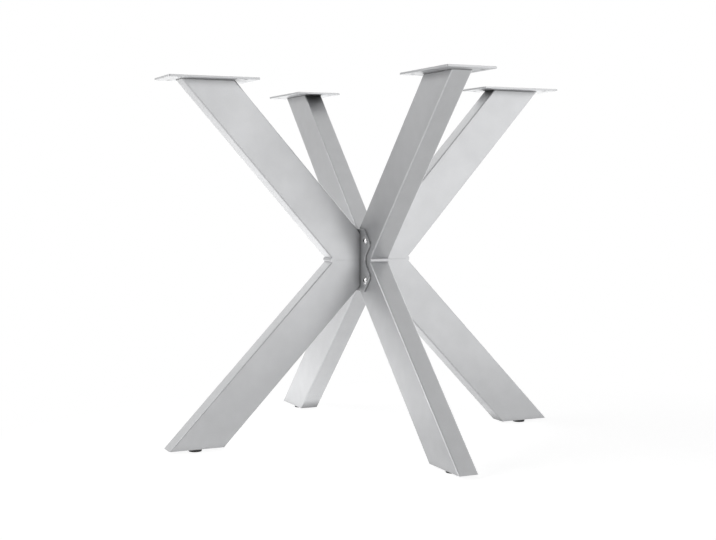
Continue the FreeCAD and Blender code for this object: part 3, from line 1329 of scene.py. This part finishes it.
@dataclass
class Studio:
    """Camera, floor, backdrop and lamps."""

    camera_place: tuple[float, float, float] = (-1.0672, -2.2794, 0.5114)
    camera_turn: tuple[float, float, float] = (86.15, 0.0, -24.685)
    camera_lens: float = 61.93
    sensor_width: float = 36.0
    floor_size: float = 60.0
    floor_colour: float = 0.80
    floor_roughness: float = 0.9
    # How brightly the metal mirrors the floor, near the base and far off, and dimmer on the left
    floor_mirrored: tuple[float, float] = (0.87, 1.66)
    floor_left: tuple[float, float] = (-1.0, -0.2)
    floor_left_mirrored: float = 0.55
    # What the camera sees: a floor lifted to white, which keeps part of the shadow near the base
    floor_lift: float = 0.86
    floor_shadow: float = 0.70
    floor_fade: tuple[float, float] = (0.45, 1.1)
    floor_fade_from: tuple[float, float, float] = (0.08, -0.46, 0.0)
    world_light: float = 0.05
    # Two broad pale sides of the room, and patches that some faces or edges mirror to the camera
    glows: tuple[Glow, ...] = (
        Glow((0.418, 0.908, 0.0), 0.70), Glow((0.908, -0.418, 0.0), 0.61),
        Glow((0.0, 0.906, 0.423), 0.90, 8.0), Glow((0.757, 0.505, 0.414), 1.8, 8.0),
        Glow((0.42, 0.0, 0.907), 0.85, 4.0), Glow((0.42, -0.907, 0.0), 1.42, 8.0),
        Glow((-0.53, 0.08, 0.844), 0.7, 4.5), Glow((-0.12, -0.89, 0.444), 0.9, 8.0),
        Glow((-0.42, 0.90, 0.10), 0.10, 4.0),
    )
    lamps: tuple[SoftBox, ...] = (
        SoftBox("left_box", (-2.6, 0.6, 1.3), aim=(0, 0, 0.36), size=(2.0, 1.8), power=35),
        SoftBox("right_box", (1.8, -2.7, 1.4), aim=(0, 0, 0.36), size=(1.8, 1.8), power=5),
    )

    def build(self) -> None:
        """Sets up the whole studio."""
        self._camera()
        self._floor()
        self._world()
        for lamp in self.lamps:
            lamp.build()
        bpy.context.scene.view_settings.view_transform = "Standard"

    def _camera(self) -> None:
        """Adds the camera at the photograph's viewpoint."""
        camera = bpy.data.cameras.new("camera")
        camera.lens = self.camera_lens
        camera.sensor_width = self.sensor_width
        holder = bpy.data.objects.new("camera", camera)
        holder.location = self.camera_place
        holder.rotation_euler = [math.radians(angle) for angle in self.camera_turn]
        bpy.context.collection.objects.link(holder)
        bpy.context.scene.camera = holder

    def _floor(self) -> None:
        """Adds a pale floor that shows white but keeps the shadow of the base."""
        floor = primitive("floor", bpy.ops.mesh.primitive_plane_add, size=self.floor_size)
        material = bpy.data.materials.new("pale_floor")
        material.use_nodes = True
        sheet = Sheet(material.node_tree)
        lit = material.node_tree.nodes["Principled BSDF"]
        sheet.feed(lit, {"Base Color": (*[self.floor_colour] * 3, 1), "Specular IOR Level": 0.0,
                         "Roughness": self.floor_roughness})
        on_floor = sheet.add("TexCoord").outputs["Object"]
        from_base = sheet.add("VectorMath", {0: on_floor, 1: self.floor_fade_from},
                              operation="DISTANCE").outputs["Value"]
        sideways = sheet.add("SeparateXYZ", {0: on_floor}).outputs["X"]
        whiteness = sheet.ramp(from_base, *self.floor_fade, 1 - self.floor_shadow, 1.0)
        haze_strength = sheet.math(
            "MULTIPLY", sheet.ramp(from_base, *self.floor_fade, *self.floor_mirrored),
            sheet.ramp(sideways, *self.floor_left, self.floor_left_mirrored, 1.0))
        lift, haze, white = (sheet.add("Emission", {"Color": (1, 1, 1, 1), "Strength": strength})
                             for strength in (self.floor_lift, haze_strength, 1.0))
        lifted = sheet.add("AddShader", {0: lit.outputs[0], 1: lift.outputs[0]})
        shown = sheet.add("MixShader", {0: whiteness, 1: lifted.outputs[0], 2: white.outputs[0]})
        mirrored = sheet.add("AddShader", {0: lit.outputs[0], 1: haze.outputs[0]})
        path = sheet.add("LightPath")
        others = sheet.add("MixShader", {0: path.outputs["Is Glossy Ray"], 1: lit.outputs[0],
                                         2: mirrored.outputs[0]})
        seen = sheet.add("MixShader", {0: self._seen_directly(sheet, path), 1: others.outputs[0],
                                       2: shown.outputs[0]})
        sheet.feed(material.node_tree.nodes["Material Output"], {"Surface": seen.outputs[0]})
        floor.data.materials.append(material)

    def _seen_directly(self, sheet: Sheet, path: bpy.types.Node) -> bpy.types.NodeSocket:
        """One for rays from the camera, straight or through glass, and zero for others."""
        return sheet.math("MAXIMUM", path.outputs["Is Camera Ray"],
                          path.outputs["Is Transmission Ray"])

    def _world(self) -> None:
        """Shows the room white, and as soft pale sides in the metal."""
        world = bpy.data.worlds.new("studio")
        world.use_nodes = True
        bpy.context.scene.world = world
        sheet = Sheet(world.node_tree)
        path = sheet.add("LightPath")
        towards = sheet.add("TexCoord").outputs["Generated"]
        mirrored: float | bpy.types.NodeSocket = 0.0
        for glow in self.glows:
            facing = sheet.add("VectorMath", {0: towards, 1: glow.towards},
                               operation="DOT_PRODUCT").outputs["Value"]
            side = sheet.math("POWER", sheet.ramp(facing, 0, 1, 0, 1), glow.narrowness)
            mirrored = sheet.math("MULTIPLY_ADD", side, glow.strength, mirrored)
        strength = self._choice(sheet, path.outputs["Is Glossy Ray"], self.world_light, mirrored)
        strength = self._choice(sheet, self._seen_directly(sheet, path), strength, 1.0)
        sheet.feed(world.node_tree.nodes["Background"], {"Color": (1, 1, 1, 1),
                                                         "Strength": strength})

    def _choice(self, sheet: Sheet, switch: bpy.types.NodeSocket,
                off: float | bpy.types.NodeSocket,
                on: float | bpy.types.NodeSocket) -> bpy.types.NodeSocket:
        """Adds a mix of two numbers by a switch from zero to one."""
        kept = sheet.math("MULTIPLY", sheet.math("SUBTRACT", 1.0, switch), off)
        return sheet.math("MULTIPLY_ADD", switch, on, kept)


# Assembly


@dataclass
class DressedBase:
    """All pieces of the base, built in order and tied to the frame's bodies."""

    sizes: BaseSizes

    def build(self) -> None:
        """Builds and dresses every sub-assembly."""
        self._tubes()
        self._welds()
        self._screws()
        self._feet()
        self._kept_nodes()

    def _add(self, piece: bpy.types.Object, finish: Finish, body: str, *nodes: str) -> None:
        """Dresses a new piece and ties it to its body.

        Args:
            piece: The new piece.
            finish: Its finish.
            body: The body it moves with.
            nodes: The frame's nodes that it stands for.
        """
        dress(piece, finish)
        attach(piece, body)
        if nodes:
            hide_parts(*nodes)
        log.info("%s: %d faces, %s, rides on %s", piece.name, len(piece.data.polygons),
                 finish.value.name, body)

    def _tubes(self) -> None:
        """Builds the eight tubes."""
        tubes = LegTubes(self.sizes)
        for leg in Leg:
            for level in Level:
                self._add(tubes.build(leg, level), Finish.COATED_STEEL, FRAME_BODY,
                          f"{leg.title}_{level.title}_tube")

    def _welds(self) -> None:
        """Builds the weld beads."""
        beads = WeldBeads(self.sizes)
        for leg in Leg:
            # The root beads take the weld finish, darkened as painted shade.
            self._add(beads.plate_ring(leg), Finish.WELD_STEEL, FRAME_BODY)
            self._add(beads.elbow_fillet(leg), Finish.COATED_STEEL, FRAME_BODY)
            if leg.bolted_on:
                self._add(beads.flange_ring(leg), Finish.WELD_STEEL, FRAME_BODY)
        for level in Level:
            self._add(beads.notch_fillet(level), Finish.COATED_STEEL, FRAME_BODY)

    def _screws(self) -> None:
        """Builds the joint screws."""
        screws = JointScrews(self.sizes)
        for leg in Leg:
            if leg.bolted_on:
                self._add(screws.build(leg), Finish.SCREW_STEEL, FRAME_BODY,
                          f"{leg.title}_joint_screws")

    def _feet(self) -> None:
        """Builds the levelling feet."""
        feet = LevellingFeet()
        for leg in Leg:
            body = f"{leg.title}_foot"
            self._add(feet.stud(leg), Finish.PLATED_STEEL, body, f"{leg.title}_foot_stud")
            self._add(feet.pad(leg), Finish.FOOT_PLASTIC, body, f"{leg.title}_foot_pad")

    def _kept_nodes(self) -> None:
        """Gives the nodes that stay their finishes."""
        finishes = {"top_plate": Finish.COATED_STEEL, "foot_plate": Finish.COATED_STEEL,
                    "flange": Finish.COATED_STEEL, "joint_nuts": Finish.PLATED_STEEL,
                    "foot_nut": Finish.PLATED_STEEL}
        for name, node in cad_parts.items():
            for ending, finish in finishes.items():
                if name.endswith(ending):
                    dress(node, finish)
                    log.info("%s keeps its shape in %s", name, finish.value.name)


def main() -> None:
    """Builds the studio and the base."""
    logging.basicConfig(level=logging.INFO, format="%(name)s %(message)s")
    Studio().build()
    DressedBase(BaseSizes.from_frame()).build()


if __name__ == "__main__":
    main()
